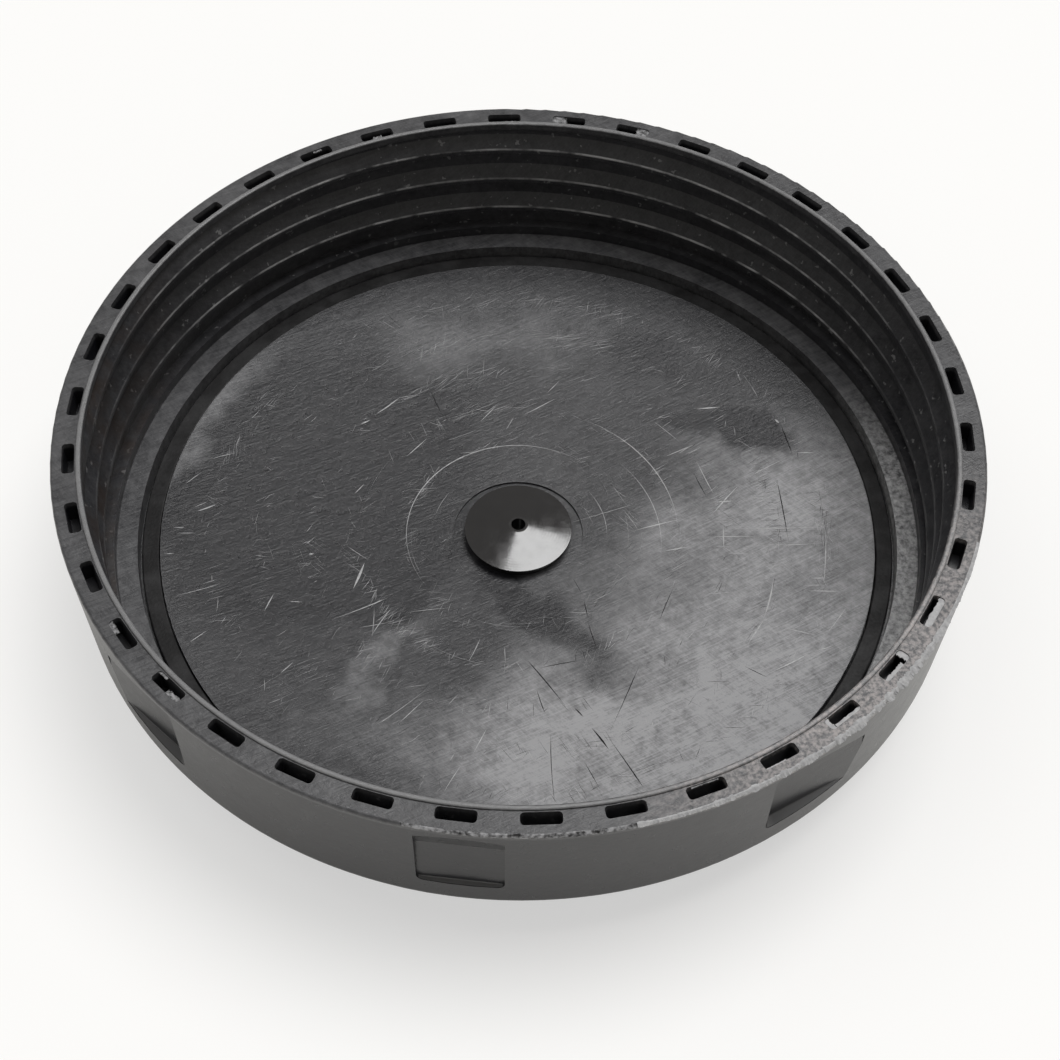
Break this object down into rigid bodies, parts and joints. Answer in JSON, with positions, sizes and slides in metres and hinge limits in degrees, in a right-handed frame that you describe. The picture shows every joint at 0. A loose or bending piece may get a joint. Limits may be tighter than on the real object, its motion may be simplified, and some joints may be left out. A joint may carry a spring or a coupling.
{
  "type": "filler tank cap",
  "caption": "Round screw-on filler cap of a tank, shown open side up, with coarse inner thread, slotted rim, sealing ring and vent valve.",
  "frame": {"origin": "on the cap's axis, in the plane of the border ring that the cap stands on, open side up", "axes": "+Z along the axis out of the open mouth; +X to the right in the picture"},
  "size_m": [0.15, 0.15, 0.0349],
  "materials": {
    "moulding": "satin, scuffed",
    "seal": "matte",
    "valve": "smooth, glossy"
  },
  "bodies": {
    "root": {"cap_body": "moulding", "seal_ring": "seal", "vent_valve": "valve"}
  },
  "joints": []
}
